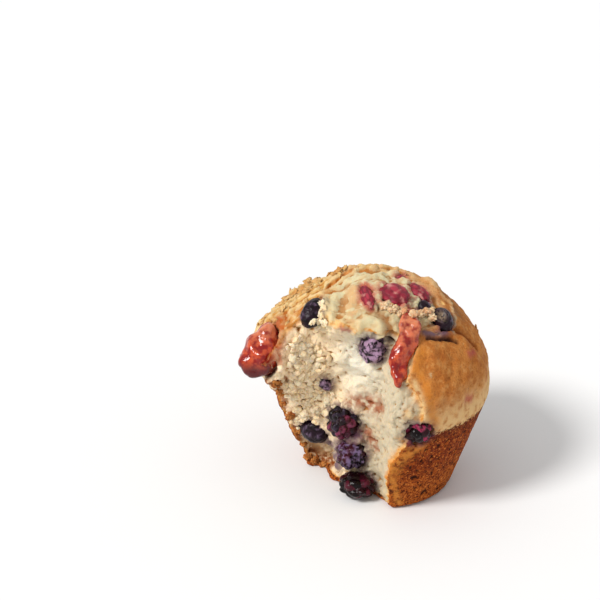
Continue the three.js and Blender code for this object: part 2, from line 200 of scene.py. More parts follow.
EVEN_STAINS_AND_SHADE = ("amber", "ruby", "lilac", "dark", "pink", "brown")


# Small helpers

def smooth(value, low, high):
    """0 below low, 1 above high, and a soft step between. Works on numbers and arrays."""
    share = np.clip((value - low) / (high - low), 0.0, 1.0)
    return share * share * (3.0 - 2.0 * share)


def bell(distance):
    return np.exp(-distance * distance)


def at_each(points, measure):
    """measure(point) for every row of an array of points, in millimetres."""
    return np.array([measure(Vector(point)) for point in points])


def srgb(red, green, blue):
    """A colour as the eye sees it, from 0 to 255, as the renderer wants it."""
    def linear(value):
        value /= 255.0
        return value / 12.92 if value <= 0.04045 else ((value + 0.055) / 1.055) ** 2.4

    return (linear(red), linear(green), linear(blue), 1.0)


def new_object(name, data):
    piece = bpy.data.objects.new(name, data)
    bpy.context.scene.collection.objects.link(piece)
    return piece


def object_from(sculpt, name, rounded=True):
    mesh = bpy.data.meshes.new(name)
    sculpt.to_mesh(mesh)
    sculpt.free()
    shade_smooth(mesh, rounded)
    return new_object(name, mesh)


def shade_smooth(mesh, rounded=True):
    mesh.polygons.foreach_set("use_smooth", [rounded] * len(mesh.polygons))


def remesh(piece, voxel):
    """Rebuilds a piece's skin from even voxels."""
    even = piece.modifiers.new("even", "REMESH")
    even.mode = "VOXEL"
    even.voxel_size = voxel * MM
    graph = bpy.context.evaluated_depsgraph_get()
    mesh = bpy.data.meshes.new_from_object(piece.evaluated_get(graph))
    piece.modifiers.clear()
    old = piece.data
    piece.data = mesh
    bpy.data.meshes.remove(old)


def places(mesh):
    """A mesh's vertices in millimetres, one row each."""
    flat = np.empty(len(mesh.vertices) * 3)
    mesh.vertices.foreach_get("co", flat)
    return flat.reshape(-1, 3) / MM


def set_places(mesh, points):
    mesh.vertices.foreach_set("co", (points * MM).ravel())
    mesh.update()


def normals(mesh):
    flat = np.empty(len(mesh.vertices) * 3)
    mesh.vertices.foreach_get("normal", flat)
    return flat.reshape(-1, 3)


def edge_ends(mesh):
    flat = np.empty(len(mesh.edges) * 2, dtype=np.int64)
    mesh.edges.foreach_get("vertices", flat)
    return flat.reshape(-1, 2)


def relax(values, ends, weight, rounds):
    """Moves each row of values towards the mean of its neighbours', a few times."""
    count = len(values)
    first, second = ends[:, 0], ends[:, 1]
    shares = np.bincount(first, minlength=count) + np.bincount(second, minlength=count)
    for _ in range(rounds):
        mean = np.empty_like(values)
        for column in range(values.shape[1]):
            total = np.bincount(first, values[second, column], minlength=count)
            total += np.bincount(second, values[first, column], minlength=count)
            mean[:, column] = total / shares
        values = values + (mean - values) * weight[:, None]
    return values


def hollows(mesh, points, ends, rounds):
    """How far each vertex lies under the smoothed skin, in millimetres."""
    soft = relax(points, ends, np.ones(len(points)), rounds)
    return np.sum((soft - points) * normals(mesh), axis=1)


def mark(mesh, name, values):
    """Stores one number a vertex, for the materials to read."""
    layer = mesh.attributes.new(name, "FLOAT", "POINT")
    layer.data.foreach_set("value", np.asarray(values, dtype=np.float32))


def node_solid(node):
    """A CAD node's mesh as a new bmesh, with its loose triangles joined."""
    sculpt = bmesh.new()
    sculpt.from_mesh(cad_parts[node].data)
    bmesh.ops.remove_doubles(sculpt, verts=sculpt.verts, dist=0.002 * MM)
    return sculpt


def to_path(points, path):
    """Each point's distance from a path of straight steps."""
    nearest = np.full(len(points), 1e3)
    for start, end in zip(path, path[1:]):
        start, end = np.array(start), np.array(end)
        way = end - start
        share = np.clip((points - start) @ way / max(way @ way, 1e-9), 0.0, 1.0)
        nearest = np.minimum(nearest, np.linalg.norm(points - start - share[:, None] * way, axis=1))
    return nearest


# The camera, and what it sees

RIGHT = Vector((1.0, 0.0, 0.0))
UPWARD = Vector((0.0, math.sin(CAMERA_PITCH), math.cos(CAMERA_PITCH)))
AHEAD = Vector((0.0, math.cos(CAMERA_PITCH), -math.sin(CAMERA_PITCH)))
PIXELS = CAMERA_LENS / CAMERA_SENSOR * IMAGE_SIZE


def from_middle(pixel):
    """How far a pixel is right of and above the image's middle, for one step ahead."""
    return (pixel[0] - IMAGE_SIZE / 2) / PIXELS, (IMAGE_SIZE / 2 - pixel[1]) / PIXELS


def camera_place():
    across, raised = from_middle(BASE_PIXEL)
    return -(RIGHT * across + UPWARD * raised + AHEAD) * CAMERA_DISTANCE


def seen(pixel, trees):
    """The nearest place that shows at a pixel, in millimetres, and its normal."""
    across, raised = from_middle(pixel)
    way = (AHEAD + RIGHT * across + UPWARD * raised).normalized()
    found = [tree.ray_cast(camera_place() * MM, way) for tree in trees]
    found = [hit for hit in found if hit[0] is not None]
    if not found:
        return None, None
    place, normal, _, _ = min(found, key=lambda hit: hit[3])
    return place / MM, normal


def tree_of(mesh):
    return BVHTree.FromPolygons(
        [vertex.co.copy() for vertex in mesh.vertices],
        [tuple(face.vertices) for face in mesh.polygons],
    )


# The whole muffin's outline, before it was torn

def plain_radius(high):
    cup = CUP_BASE + (CUP_RIM - CUP_BASE) * high / CUP_HIGH
    turned = np.clip(1.0 - high / CUP_EDGE, 0.0, 1.0)
    cup = cup - CUP_EDGE * (1.0 - np.sqrt(1.0 - turned * turned))
    under = np.clip((high - CUP_HIGH) / (DOME_WIDEST - CUP_HIGH), 0.0, 1.0)
    rim = DOME_RADIUS + (CUP_RIM - DOME_RADIUS) * (1.0 - under) ** 1.4
    over = np.clip((high - DOME_WIDEST) / (DOME_HIGH - DOME_WIDEST), 0.0, 1.0)
    dome = DOME_RADIUS * (1.0 - over**DOME_FULLNESS) ** (1.0 / DOME_FULLNESS)
    return np.where(high <= CUP_HIGH, cup, np.where(high <= DOME_WIDEST, rim, dome))


def outline_radius(high, azimuth):
    risen = smooth(high, CUP_HIGH, DOME_WIDEST)
    fade = 1.0 - smooth(high, *LIP_FADE)
    lip = LIP_REACH * bell((math.pi - np.abs(azimuth)) / LIP_SPREAD)
    return plain_radius(high) * (1.0 + risen * fade * lip / DOME_RADIUS)


def swell(points, length):
    """Slow swells over the dome: four sine waves that cross at odd angles."""
    x, y, z = points.T
    k = 2.0 * math.pi / length
    return (
        np.sin(k * (0.86 * x + 0.38 * y + 0.33 * z))
        + np.sin(1.23 * k * (-0.35 * x + 0.9 * y + 0.26 * z) + 1.3)
        + np.sin(0.81 * k * (0.24 * x - 0.45 * y + 0.86 * z) + 2.1)
        + np.sin(1.41 * k * (-0.7 * x - 0.5 * y + 0.51 * z) + 4.2)
    ) / 4.0


def sunk_by(points):
    x = (points[:, 0] - TOP_MIDDLE[0]) / TOP_HALF[0]
    y = (points[:, 1] - TOP_MIDDLE[1]) / TOP_HALF[1]
    high_enough = points[:, 2] > DOME_WIDEST
    return np.where(high_enough, TOP_SUNK * (1.0 - smooth(np.hypot(x, y), 0.85, 1.0)), 0.0)


def outward_from_middle(points):
    way = points - np.array([-LEAN_SHIFT, 0.0, CUP_HIGH])
    way[:, 2] = np.where(points[:, 2] > CUP_HIGH, way[:, 2], 0.0)
    return way / np.maximum(np.linalg.norm(way, axis=1), 1e-6)[:, None]


def depth_sideways(points):
    shift = LEAN_SHIFT * smooth(points[:, 2], CUP_HIGH, DOME_WIDEST)
    x = points[:, 0] + shift
    radius = np.hypot(x, points[:, 1])
    return outline_radius(points[:, 2], np.arctan2(points[:, 1], x)) - radius


def below_crust(points):
    """How deep each point lies under the muffin's surface before it was torn, in mm."""
    middle = np.array([-LEAN_SHIFT, 0.0, CUP_HIGH])
    reach = points - middle
    length = np.maximum(np.linalg.norm(reach, axis=1), 1e-6)
    low = np.zeros(len(points))
    high = np.full(len(points), 120.0)
    for _ in range(18):
        tried = (low + high) / 2.0
        inside = depth_sideways(middle + reach * (tried / length)[:, None]) > 0.0
        low = np.where(inside, tried, low)
        high = np.where(inside, high, tried)
    on_dome = points[:, 2] > CUP_HIGH
    slope = CUP_HIGH / math.hypot(CUP_HIGH, CUP_RIM - CUP_BASE)
    depth = np.where(on_dome, (low + high) / 2.0 - length, depth_sideways(points) * slope)
    lump = sum(size * swell(points, wave) for wave, size in LUMPS)
    risen = smooth(points[:, 2], CUP_HIGH, DOME_WIDEST)
    return np.minimum(depth + risen * lump - sunk_by(points), points[:, 2])


# Relief, in millimetres

CLUMP_LEVEL = 0.8


def bend(point, size, reach):
    """Moves a point a little, so that what is drawn there loses its regular shape."""
    return point + noise.noise_vector(point / size) * reach


def clump(point, size):
    """Rounded lumps of about that size, with sharp creases between them: 0 to 1."""
    away = noise.voronoi(point / size)[0][0]
    return math.sqrt(max(0.0, 1.0 - away * away))


def clumps(point, *layers):
    """Layers of lumps on each other. Each layer gives its height and the lumps' size."""
    return sum(height * (clump(point, size) - CLUMP_LEVEL) for height, size in layers)


def pores(point, size, closed):
    """How deep a point lies in scattered holes. The closed share of the noise has none."""
    return max(0.0, noise.noise(point / size) - closed)


def crumb_relief(point):
    """Torn crumb: grains that stick together in clumps, and open pores."""
    bent = bend(point, 5.0, 0.9)
    grains = clumps(bent, (1.8, 4.4), (1.4, 2.1), (0.7, 1.1))
    return grains + 0.7 * noise.noise(point / 3.1) - 3.0 * pores(bent, 2.0, 0.2)


def ruggedness(points):
    """1 where the dome is rough, to the upper left, and 0 where it is smooth."""
    return smooth(points[..., 2] * 0.6 - points[..., 0], 20.0, 50.0)


def dome_relief(point):
    """Baked dome: low blisters, wrinkles and a few pinholes, rougher to the upper left."""
    rough = ruggedness(np.array(point))
    bent = bend(point, 3.7, 1.0)
    blister = (0.05 + 1.5 * rough) * (clump(bent, 3.4) - 0.78)
    grain = (0.2 + 0.55 * rough) * noise.fractal(bent / 2.4, 0.8, 2.1, 4)
    return blister + grain - 0.8 * pores(point, 1.2, 0.42)


def broken_relief(point):
    """The broken top: plates of crust that stand apart."""
    return clumps(bend(point, 6.0, 1.5), (2.0, 6.2), (0.7, 2.4))


def cup_relief(point):
    """The cup's side, baked against the tin: a skin full of small holes and low ridges."""
    skin = 0.4 * (clump(bend(point, 2.9, 0.9), 1.7) - 0.75)
    return skin - 0.8 * pores(point, 1.1, 0.12) - 0.8 * pores(point, 3.3, 0.2)


# The soft, stretched part of the crumb in the middle of the tear
BAND_MIDDLE = np.array([-8.0, -15.0, 50.0])
BAND_HALF = np.array([6.5, 30.0, 13.0])


def stretched(points):
    share = (points - BAND_MIDDLE) / BAND_HALF
    return np.exp(-np.sum(share * share, axis=1))


def on_broken_top(points):
    """1 on the sunken oval at the top, 0 round it."""
    share = (points[:, :2] - np.array(TOP_MIDDLE)) / np.array(TOP_HALF)
    high_enough = smooth(points[:, 2], 55.0, 62.0)
    return high_enough * (1.0 - smooth(np.linalg.norm(share, axis=1), 0.75, 1.05))


# Fruit in its place

def oval(node):
    """The middle, the three axes and the half sizes of the oval that a node fills, in mm."""
    sculpt = node_solid(node)
    points = np.array([vertex.co[:] for vertex in sculpt.verts]) / MM
    sculpt.free()
    low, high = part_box(node)
    middle = (np.array(low) + np.array(high)) / 2.0 / MM
    _, axes = np.linalg.eigh(np.cov((points - points.mean(axis=0)).T))
    if np.linalg.det(axes) < 0:
        axes[:, 0] = -axes[:, 0]
    half = np.abs((points - middle) @ axes).max(axis=0)
    return middle, axes, half


OVALS = {node: oval(node) for node in ALL_FRUIT}


def from_fruit(points, nodes):
    """Each point's distance from the nearest of the named fruit, in millimetres."""
    nearest = np.full(len(points), 1e3)
    for node in nodes:
        middle, axes, half = OVALS[node]
        local = (points - middle) @ axes
        length = np.linalg.norm(local, axis=1)
        share = np.linalg.norm(local / half, axis=1)
        nearest = np.minimum(nearest, length * (1.0 - 1.0 / np.maximum(share, 1e-3)))
    return nearest


# The baked body

def finer_where(mesh, chosen):
    """Cuts each edge in two where both its ends are chosen."""
    sculpt = bmesh.new()
    sculpt.from_mesh(mesh)
    edges = [
        edge
        for edge in sculpt.edges
        if chosen[edge.verts[0].index] and chosen[edge.verts[1].index]
    ]
    bmesh.ops.subdivide_edges(sculpt, edges=edges, cuts=1, use_grid_fill=True)
    bmesh.ops.triangulate(sculpt, faces=[face for face in sculpt.faces if len(face.verts) > 4])
    sculpt.to_mesh(mesh)
    sculpt.free()


def on_whole_side(points):
    """1 on the right front of the dome, which has no tear and no fruit in it."""
    x, y, z = points.T
    right, back, raised = WHOLE_SIDE
    return smooth(x, *right) * smooth(z, *raised) * (1.0 - smooth(y, *back))


def even_body():
    """The muffin's solid with an even mesh, finer on the tear, its crust laid back on its
    outline, and how deep each vertex lies under that crust."""
    piece = object_from(node_solid("muffin"), "baked_body")
    remesh(piece, BODY_VOXEL)
    mesh = piece.data
    points = places(mesh)
    torn = smooth(below_crust(points), *RELAXED_FROM)
    points = relax(points, edge_ends(mesh), 0.2 + 0.3 * torn, 6)
    set_places(mesh, points)
    finer_where(mesh, below_crust(points) > FINER_FROM)
    points = places(mesh)
    points = relax(points, edge_ends(mesh), np.full(len(points), 0.4), 3)
    below = below_crust(points)
    on_crust = np.maximum(1.0 - smooth(below, *CRUST_ENDS), on_whole_side(points))
    for evened in (0.5, 0.0):
        points += outward_from_middle(points) * (below_crust(points) * on_crust)[:, None]
        points = relax(points, edge_ends(mesh), evened * on_crust, 6)
    set_places(mesh, points)
    shade_smooth(mesh)
    return piece, below * (1.0 - on_crust)


def marks_on(mesh, points):
    """How strongly each kind of mark shows at each vertex, and the height of them all."""
    trees = [tree_of(mesh)]
    strength = {kind: np.zeros(len(points)) for kind in MARK_KINDS}
    height = np.zeros(len(points))
    waver = at_each(points, lambda p: noise.noise(p / 1.6))
    for kind, half_width, raised, *pixels in MARKS:
        path = [seen(pixel, trees)[0] for pixel in pixels]
        path = [place for place in path if place is not None]
        away = to_path(points, path) / half_width + 0.5 * waver
        share = bell(np.maximum(away, 0.0))
        strength[kind] = np.maximum(strength[kind], share)
        height += raised * share
    return strength, height


def under_jam(points):
    """1 under the drop of jam at the left lip, 0 away from it."""
    low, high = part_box("jam_lip")
    low, high = np.array(low) / MM, np.array(high) / MM
    share = (points - (low + high) / 2.0) / (high - low) * 2.0
    return 1.0 - smooth(np.linalg.norm(share, axis=1), *JAM_SEAT_EDGE)


def make_body(finish):
    """The baked body with its relief, and what its material reads at each vertex."""
    piece, below = even_body()
    mesh = piece.data
    points = places(mesh)
    strength, raised = marks_on(mesh, points)

    torn = smooth(below, *RELIEF_CHANGES)
    cup = 1.0 - smooth(points[:, 2], CUP_HIGH - 2.0, CUP_HIGH + 2.0)
    band = stretched(points)
    crumb = at_each(points, crumb_relief) * (1.0 - 0.75 * band)
    crust = np.where(cup > 0.5, at_each(points, cup_relief), at_each(points, dome_relief))
    broken = on_broken_top(points)
    crust += broken * at_each(points, broken_relief)
    hug = 1.0 - smooth(from_fruit(points, ALL_FRUIT), 0.4, 2.6)
    hugging = hug * np.clip(0.6 + 1.6 * at_each(points, lambda p: noise.noise(p / 2.2)), 0.0, 1.6)
    relief = torn * crumb + (1.0 - torn) * crust + raised + hugging
    relief *= smooth(points[:, 2], 0.2, 1.5)
    relief -= under_jam(points) * (relief + JAM_SEAT_DEEP)
    points += normals(mesh) * relief[:, None]
    points[:, 2] = np.maximum(points[:, 2], 0.0)
    set_places(mesh, points)

    ends = edge_ends(mesh)
    at_base = (1.0 - smooth(points[:, 2], 1.0, 3.5)) * (1.0 - smooth(below, *BASE_OPENS))
    mark(mesh, "below", below * (1.0 - at_base))
    mark(mesh, "cup", cup)
    mark(mesh, "broken", broken)
    mark(mesh, "rugged", ruggedness(points))
    mark(mesh, "band", band)
    # Painted light: the crumb's colour is lighter to the left and darker to the right, to even out
    # how the light falls across the tear
    mark(mesh, "left_painted_lighter", smooth(-points[:, 0], 3.0, 20.0))
    # How deep each vertex lies in a pit or a wide dip, or how far it stands proud: the materials
    # paint shade into the hollows and light onto the ridges
    mark(mesh, "relief_shading", hollows(mesh, points, ends, 8))
    mark(mesh, "dip_shading", hollows(mesh, points, ends, 60))
    mark(mesh, "purple", 1.0 - smooth(from_fruit(points, DARK_FRUIT), 0.0, 3.0))
    mark(mesh, "red", 1.0 - smooth(from_fruit(points, FRUIT["raspberry"]), 0.0, 2.4))
    for kind in MARK_KINDS:
        mark(mesh, kind, strength[kind])
    dress(piece, finish, "muffin")
    return piece


def dress(piece, material, node):
    """Gives a piece its material and its body, and the node that it replaces."""
    piece.data.materials.clear()
    piece.data.materials.append(material)
    if node:
        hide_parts(node)
    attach(piece, BODY)


# Fruit: beads, and a blueberry's crown and the ring round it, as shares of the fruit's half

BEADS_STRAY = 0.16
BEADS_VARY = (0.7, 1.15)
BEADS_REACH = 1.04
CROWN_WIDE = 0.36
CROWN_DEEP = 0.26
RING_FROM_CROWN = 0.56
RING_WIDE = 0.14
RING_HIGH = 0.12


def even_directions(count, draw, jitter):
    """Directions spread evenly over a ball, each moved a little."""
    golden = math.pi * (3.0 - math.sqrt(5.0))
    spread = []
    for i in range(count):
        high = 1.0 - (2.0 * i + 1.0) / count
        flat = math.sqrt(1.0 - high * high)
        way = Vector((flat * math.cos(golden * i), flat * math.sin(golden * i), high))
        way += Vector([draw.uniform(-jitter, jitter) for _ in range(3)])
        spread.append(way.normalized())
    return np.array(spread)


def ball_points(subdivisions):
    sculpt = bmesh.new()
    bmesh.ops.create_icosphere(sculpt, subdivisions=subdivisions, radius=1.0)
    return sculpt, np.array([vertex.co[:] for vertex in sculpt.verts])


def fruit_piece(node, sculpt, shape, sunk=0.0, blurred=0):
    """Fits a shaped unit ball into the oval of its node, its outer side sunk by a share."""
    middle, axes, half = OVALS[node]
    points = (shape * half) @ axes.T
    outward = outward_from_middle(middle[None, :])[0]
    points -= np.outer(np.maximum(points @ outward, 0.0) * sunk, outward)
    points += middle
    points[:, 2] = np.maximum(points[:, 2], 0.0)
    for vertex, point in zip(sculpt.verts, points):
        vertex.co = point * MM
    bmesh.ops.recalc_face_normals(sculpt, faces=sculpt.faces)
    piece = object_from(sculpt, node + "_fruit")
    if blurred:
        ends = edge_ends(piece.data)
        set_places(piece.data, relax(points, ends, np.full(len(points), 0.6), blurred))
    return piece


def beads(directions, middles, sizes, core):
    """How far out the beads' outer surface lies along each direction."""
    along = directions @ middles.T
    left = sizes[None, :] ** 2 - np.sum(middles**2, axis=1)[None, :] + along**2
    hit = np.where(left > 0.0, along + np.sqrt(np.maximum(left, 0.0)), 0.0)
    return np.maximum(hit.max(axis=1), core)


def beaded_fruit(node, count, size, core, seed, sunk=0.0, blurred=0, rosy=0.0, bloom_and_sheen=0.0):
    """A bramble or raspberry: a core closely set with rounded beads, some of them collapsed."""
    draw = random.Random(seed)
    sculpt, ball = ball_points(6)
    ways = even_directions(count, draw, BEADS_STRAY)
    sizes = np.array([size * draw.uniform(*BEADS_VARY) for _ in range(count)])
    middles = ways * (BEADS_REACH - sizes)[:, None]
    out = beads(ball, middles, sizes, core)
    shift = Vector((seed, seed * 0.7, seed * 0.3))
    slack = at_each(ball, lambda p: noise.noise(p * 1.6 + shift))
    fine = at_each(ball, lambda p: noise.fractal(p * 7.0 + shift, 1.0, 2.0, 2))
    nearest = (ball @ ways.T).argmax(axis=1)
    tint = np.array([draw.random() for _ in range(count)])[nearest]
    shape = ball * (out + 0.14 * slack + 0.03 * fine)[:, None]
    piece = fruit_piece(node, sculpt, shape, sunk, blurred)
    mark(piece.data, "tint", tint)
    # How deep each point lies between the beads, for painted shade there
    mark(piece.data, "crease_shade", 1.0 - smooth(out, core, 1.0))
    mark(piece.data, "rosy", np.full(len(ball), rosy))
    # How much lilac dusting, which stands for bloom and for a painted sheen
    mark(piece.data, "bloom_and_sheen", np.full(len(ball), bloom_and_sheen))
    return piece


def wrinkled_fruit(node, seed, mush, crown_way=None):
    """A baked blueberry: its skin has sunk into soft wrinkles round a small crown."""
    sculpt, ball = ball_points(5)
    shift = Vector((seed * 3.7, seed * 1.3, seed * 2.1))
    fold = at_each(ball, lambda p: noise.ridged_multi_fractal(p * 1.9 + shift, 1, 2, 3, 1, 2))
    fold *= 1.0 - 0.5 * mush
    slack = at_each(ball, lambda p: noise.fractal(p * (1.3 + 1.3 * mush) + shift, 1.0, 2.0, 2))
    out = 1.02 + (0.07 + 0.16 * mush) * slack - 0.05 * np.clip(fold - 0.6, 0.0, 1.5)
    crown = np.zeros(len(ball))
    if crown_way is not None:
        way = np.array(crown_way) @ OVALS[node][1]
        way /= np.linalg.norm(way)
        apart = np.arccos(np.clip(ball @ way, -1.0, 1.0))
        crown = bell(apart / CROWN_WIDE)
        ring = bell((apart - RING_FROM_CROWN) / RING_WIDE)
        out += -CROWN_DEEP * crown + RING_HIGH * ring
    piece = fruit_piece(node, sculpt, ball * out[:, None], 0.0, int(8 * mush))
    # How deep each point lies in a wrinkle, for painted shade there
    mark(piece.data, "crease_shade", smooth(fold, 0.6, 1.4))
    mark(piece.data, "crown", crown)
    mark(piece.data, "mush", np.full(len(ball), mush))
    return piece


# The ways that the crowns face, how mushy a blueberry is, and how rosy and how dusted with lilac a
# bramble is, a dusting that stands for bloom and for a painted sheen, from 0 to 1
CROWNS = {"blueberry_right": (-0.1, -0.62, 0.78), "blueberry_back": (0.3, 0.9, 0.3)}
MUSHY = {"blueberry_centre": 1.0, "berry_bit": 0.6}
ROSY = {"bramble_right": 1.0, "bramble_mid": 0.4, "bramble_back": 0.4}
LEAST_ROSY = 0.15
BLOOM_AND_SHEEN = {"bramble_low": 0.9, "bramble_mid": 0.15}


def make_fruit(finish):
    pieces = []
    for seed, node in enumerate(FRUIT["blueberry"]):
        piece = wrinkled_fruit(node, seed + 1, MUSHY.get(node, 0.0), CROWNS.get(node))
        dress(piece, finish["blueberry"], node)
        pieces.append(piece)
    for seed, node in enumerate(FRUIT["raspberry"]):
        piece = beaded_fruit(
            node, count=34, size=0.3, core=0.92, seed=40 + seed, sunk=0.3, blurred=24
        )
        dress(piece, finish["raspberry"], node)
        pieces.append(piece)
    for seed, node in enumerate(FRUIT["bramble"]):
        rosy, bloom_and_sheen = ROSY.get(node, LEAST_ROSY), BLOOM_AND_SHEEN.get(node, 0.0)
        piece = beaded_fruit(
            node, count=30, size=0.34, core=0.8, seed=70 + seed, blurred=6, rosy=rosy, bloom_and_sheen=bloom_and_sheen
        )
        dress(piece, finish["bramble"], node)
        pieces.append(piece)
    return pieces


# Jam: its node, how lumpy it is, and how light its foot is, where 0 is the darkest

JAM = (("jam_run", 0.9, 0.35), ("jam_lip", 0.7, 0.0))


def make_jam(finish):
    pieces = []
    for node, lumpy, lowest in JAM:
        piece = object_from(node_solid(node), node + "_jam")
        remesh(piece, JAM_VOXEL)
        mesh = piece.data
        points = places(mesh)
        points = relax(points, edge_ends(mesh), np.full(len(points), 0.5), 12)
        slow = at_each(points, lambda p: noise.noise(p / 4.5))
        quick = at_each(points, lambda p: clump(p, 3.0) - 0.8)
        points += normals(mesh) * (lumpy * (2.0 * slow + 1.4 * quick - 0.2))[:, None]
        set_places(mesh, points)
        shade_smooth(mesh)
        low, high = points[:, 2].min(), points[:, 2].max()
        share = (points[:, 2] - low) / (high - low)
        mark(mesh, "risen", lowest + (1.0 - lowest) * share)
        dress(piece, finish["jam"], node)
        pieces.append(piece)
    return pieces


# Crumbs, crumble and oats: the pixels of the photograph that they lie round. Scraps of dough
# lie over the blueberry at the lip, and bits of crust at the left edge of the tear

CRUMBLE_ROW = ((387, 306), (394, 309), (402, 313), (411, 315), (420, 316), (428, 312), (433, 318))
SCRAPS = ((322, 303), (323, 309), (321, 315), (320, 321), (326, 324), (314, 321), (319, 327))
GRAINS = (
    (297, 346), (304, 349), (311, 352), (298, 360), (305, 364), (318, 368), (298, 374),
    (308, 382), (320, 392), (297, 390), (304, 404), (316, 410), (300, 418), (330, 402),
)
CRUST_BITS = (
    (275, 384), (279, 393), (284, 404), (290, 415), (296, 430), (301, 444), (307, 456),
    (314, 461), (323, 464),
)
OAT_ROW = ((262, 322), (272, 310), (285, 299), (297, 289), (310, 282), (324, 276), (340, 270))

# Oats strewn over the rest of the dome: how many are tried, half their length in
# millimetres, their thickness as a share of it, and how far they tilt
LOOSE_OATS = 200
OAT_HALF = (0.8, 2.1)
OAT_THIN = (0.2, 0.4)
OAT_TILT = 0.35
FULL_TURN = 6.3


def ragged_ball(draw, half, squash, rough=0.75):
    """A small broken lump: its vertices and faces, in millimetres round its middle."""
    sculpt, ball = ball_points(3)
    faces = [[vertex.index for vertex in face.verts] for face in sculpt.faces]
    sculpt.free()
    shift = Vector([draw.uniform(-50, 50) for _ in range(3)])
    out = 0.8 + rough * at_each(ball, lambda p: noise.fractal(p * 1.5 + shift, 0.8, 2.2, 3))
    out = np.clip(out, 0.35, 1.5)
    points = ball * out[:, None] * half * np.array([1.0, draw.uniform(0.65, 1.0), squash])
    return points, faces


def set_on(points, place, normal, turn):
    """Lays a lump's flat side along a surface."""
    tilt = normal.to_track_quat("Z", "Y").to_matrix() @ Matrix.Rotation(turn, 3, "Z")
    return points @ np.array(tilt).T + np.array(place)


def joined(name, lumps):
    """One mesh of many lumps, each with its tint."""
    mesh = bpy.data.meshes.new(name)
    corners, faces, shades = [], [], []
    for points, lump_faces, tint in lumps:
        start = len(corners)
        points[:, 2] = np.maximum(points[:, 2], 0.0)
        corners.extend(map(tuple, points * MM))
        faces.extend([[start + i for i in face] for face in lump_faces])
        shades.extend([tint] * len(points))
    mesh.from_pydata(corners, [], faces)
    mark(mesh, "tint", shades)
    shade_smooth(mesh)
    return new_object(name, mesh)


def scattered(trees, pixels, count, spread, size, squash, draw, rough=0.75):
    """Lumps laid where the camera sees them, round the named pixels, each with its tint."""
    lumps = []
    for _ in range(count):
        pixel = draw.choice(pixels)
        aim = (pixel[0] + draw.gauss(0.0, spread), pixel[1] + draw.gauss(0.0, spread * 0.7))
        half = size * draw.uniform(0.6, 1.2)
        points, faces = ragged_ball(draw, half, squash, rough)
        turn, tint = draw.uniform(0, FULL_TURN), draw.random()
        place, normal = seen(aim, trees)
        if place is not None:
            points = set_on(points, place + normal * half * squash * 0.4, normal, turn)
            lumps.append((points, faces, tint))
    return lumps


def make_crumble(finish, trees):
    draw = random.Random(11)
    lumps = scattered(trees, CRUMBLE_ROW, count=44, spread=1.8, size=1.35, squash=0.8, draw=draw)
    piece = joined("crumble", lumps)
    dress(piece, finish["crumble"], None)


def make_grains(finish, body_tree, trees):
    draw = random.Random(31)
    lumps = scattered(
        [body_tree], GRAINS, count=200, spread=6.0, size=1.6, squash=0.45, draw=draw, rough=0.4
    )
    lumps += scattered(
        trees, SCRAPS, count=24, spread=1.3, size=1.4, squash=0.5, draw=draw, rough=0.5
    )
    piece = joined("crumb_grains", lumps)
    dress(piece, finish["grains"], None)
    lumps = scattered(
        [body_tree], CRUST_BITS, count=130, spread=1.8, size=0.95, squash=0.8, draw=draw
    )
    piece = joined("crust_bits", lumps)
    dress(piece, finish["crust_bits"], None)


def on_dome(draw, tree):
    """A chance place on the dome, more often to the left, and its normal."""
    middle = Vector((-LEAN_SHIFT, 0.0, CUP_HIGH + 8.0)) * MM
    way = Vector((draw.gauss(-0.35, 1.0), draw.gauss(0.0, 1.0), draw.uniform(0.1, 1.6)))
    place, normal, _, _ = tree.ray_cast(middle + way.normalized() * 0.1, -way)
    return place / MM, normal


def takes_oats(place):
    """Oats lie on whole crust behind and to the left, clear of the fruit."""
    point = np.array([place])
    whole = below_crust(point)[0] < 0.9 and from_fruit(point, ALL_FRUIT)[0] > 1.2
    at_right_front = place.x > 2.0 and place.y < 12.0
    return whole and not at_right_front and on_broken_top(point)[0] < 0.3


def make_oats(finish, body_tree):
    draw = random.Random(5)
    lumps = scattered(
        [body_tree], OAT_ROW, count=46, spread=4.5, size=1.7, squash=0.3, draw=draw
    )
    for _ in range(LOOSE_OATS):
        place, normal = on_dome(draw, body_tree)
        points, faces = ragged_ball(draw, draw.uniform(*OAT_HALF), draw.uniform(*OAT_THIN))
        lean = Vector([draw.uniform(-OAT_TILT, OAT_TILT) for _ in range(3)])
        turn, tint = draw.uniform(0, FULL_TURN), draw.random()
        if takes_oats(place):
            points = set_on(points, place, (normal + lean).normalized(), turn)
            lumps.append((points, faces, tint))
    piece = joined("oats", lumps)
    dress(piece, finish["oats"], None)


# Materials

def recipe(name):
    material = bpy.data.materials.new(name)
    material.use_nodes = True
    tree = material.node_tree
    shader = tree.nodes["Principled BSDF"]
    return material, tree, shader


def put(tree, value, socket):
    """Links an output to a socket, or sets the socket to a plain value."""
    if isinstance(value, bpy.types.NodeSocket):
        tree.links.new(value, socket)
    else:
        socket.default_value = value


def millimetres(tree):
    place = tree.nodes.new("ShaderNodeTexCoord")
    scaled = tree.nodes.new("ShaderNodeMapping")
    scaled.inputs["Scale"].default_value = (1.0 / MM, 1.0 / MM, 1.0 / MM)
    tree.links.new(place.outputs["Object"], scaled.inputs["Vector"])
    return scaled.outputs["Vector"]


def attribute(tree, name):
    node = tree.nodes.new("ShaderNodeAttribute")
    node.attribute_name = name
    return node.outputs["Fac"]


def speckle(tree, place, size, detail=3.0, roughness=0.5):
    """Soft noise with blobs of about that size, in millimetres."""
    node = tree.nodes.new("ShaderNodeTexNoise")
    node.inputs["Scale"].default_value = 1.0 / size
    node.inputs["Detail"].default_value = detail
    node.inputs["Roughness"].default_value = roughness
    tree.links.new(place, node.inputs["Vector"])
    return node.outputs["Fac"]


